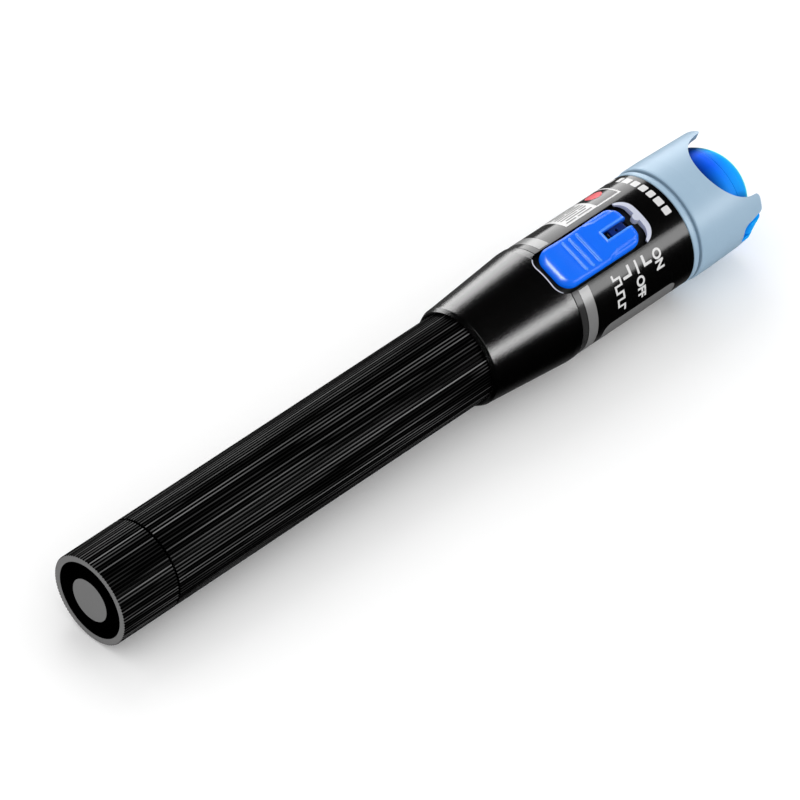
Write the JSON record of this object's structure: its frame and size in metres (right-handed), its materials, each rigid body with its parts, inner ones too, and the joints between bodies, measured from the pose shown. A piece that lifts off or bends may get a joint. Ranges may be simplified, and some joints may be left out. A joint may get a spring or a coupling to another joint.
{
  "type": "visual fault locator",
  "caption": "Pen-shaped visual fault locator: fluted battery barrel, flared front housing with a thumb slide switch, scalloped collar around a ferrule port under a flip-up domed dust cap.",
  "frame": {"origin": "centre of the pen's axis on the plane of the tail rim, at the bottom centre of the box", "axes": "+Z along the pen from the tail rim to the dust cap; +X towards the slide switch; +Y towards the dust cap's hinge"},
  "size_m": [0.0262, 0.0256, 0.175],
  "materials": {
    "anodised_black": "satin black anodised aluminium, finely fluted",
    "housing_black": "satin black bead-blasted and anodised aluminium",
    "label_film": "black printed film with grey and white marks",
    "collar_grey": "matte light blue-grey moulded plastic",
    "bezel_grey": "matte light blue-grey moulded plastic",
    "slider_blue": "satin bright blue moulded plastic",
    "cap_blue": "glossy bright blue moulded plastic",
    "inner_black": "matte black plastic",
    "seal_rubber": "black rubber",
    "spring_steel": "nickel plated spring steel",
    "plated_steel": "nickel plated steel",
    "cell_wrap": "plain grey cell, weight of a dry cell",
    "contact_brass": "plated brass contact",
    "module_brass": "turned brass",
    "board_green": "green glass-epoxy board",
    "capacitor_tan": "tan ceramic chip capacitor",
    "sleeve_ceramic": "white zirconia",
    "lens_glass": "clear lens"
  },
  "bodies": {
    "root": {"battery_tube": "anodised_black", "tube_oring": "seal_rubber", "battery_rear": "cell_wrap", "battery_front": "cell_wrap", "positive_contact": "contact_brass", "contact_insulator": "board_green", "front_housing": "housing_black", "label_wrap": "label_film", "slot_shield": "inner_black", "switch_bezel": "bezel_grey", "slide_switch": "plated_steel", "driver_board": "board_green", "driver_chip": "inner_black", "board_capacitors": "capacitor_tan", "carrier_lower": "inner_black", "carrier_upper": "inner_black", "board_screws": "plated_steel", "laser_housing": "module_brass", "laser_diode": "plated_steel", "laser_lens": "lens_glass", "lens_ring": "inner_black", "ferrule_adapter": "plated_steel", "alignment_sleeve": "sleeve_ceramic", "adapter_nut": "plated_steel", "crown_collar": "collar_grey", "front_insert": "cap_blue", "hinge_pin": "plated_steel", "collar_oring": "seal_rubber"},
    "slider": {"switch_slider": "slider_blue", "switch_lever": "inner_black"},
    "dust_cap": {"dust_cap_lid": "cap_blue", "dust_seal": "seal_rubber"},
    "spring": {"tail_spring": "spring_steel"},
    "tail": {"tail_cap": "anodised_black", "tail_contact": "spring_steel", "tail_oring": "seal_rubber"}
  },
  "joints": [
    {"name": "switch_slide", "type": "slide", "parent": "root", "child": "slider", "axis": [0, 0, 1], "range_m": [-0.0012, 0.0012]},
    {"name": "dust_cap_flip", "type": "hinge", "parent": "root", "child": "dust_cap", "pos_m": [0, 0.0104, 0.171], "axis": [-1, 0, 0], "range_deg": [0, 135]},
    {"name": "cap_travel", "type": "slide", "parent": "root", "child": "spring", "axis": [0, 0, -1], "range_m": [0, 0.00705]},
    {"name": "tail_cap_turn", "type": "hinge", "parent": "spring", "child": "tail", "pos_m": [0, 0, 0.007], "axis": [0, 0, -1], "range_deg": [0, 2520]}
  ],
  "couplings": [
    {"joint": "cap_travel", "follows": "tail_cap_turn", "m_per_rad": 0.00015915}
  ]
}
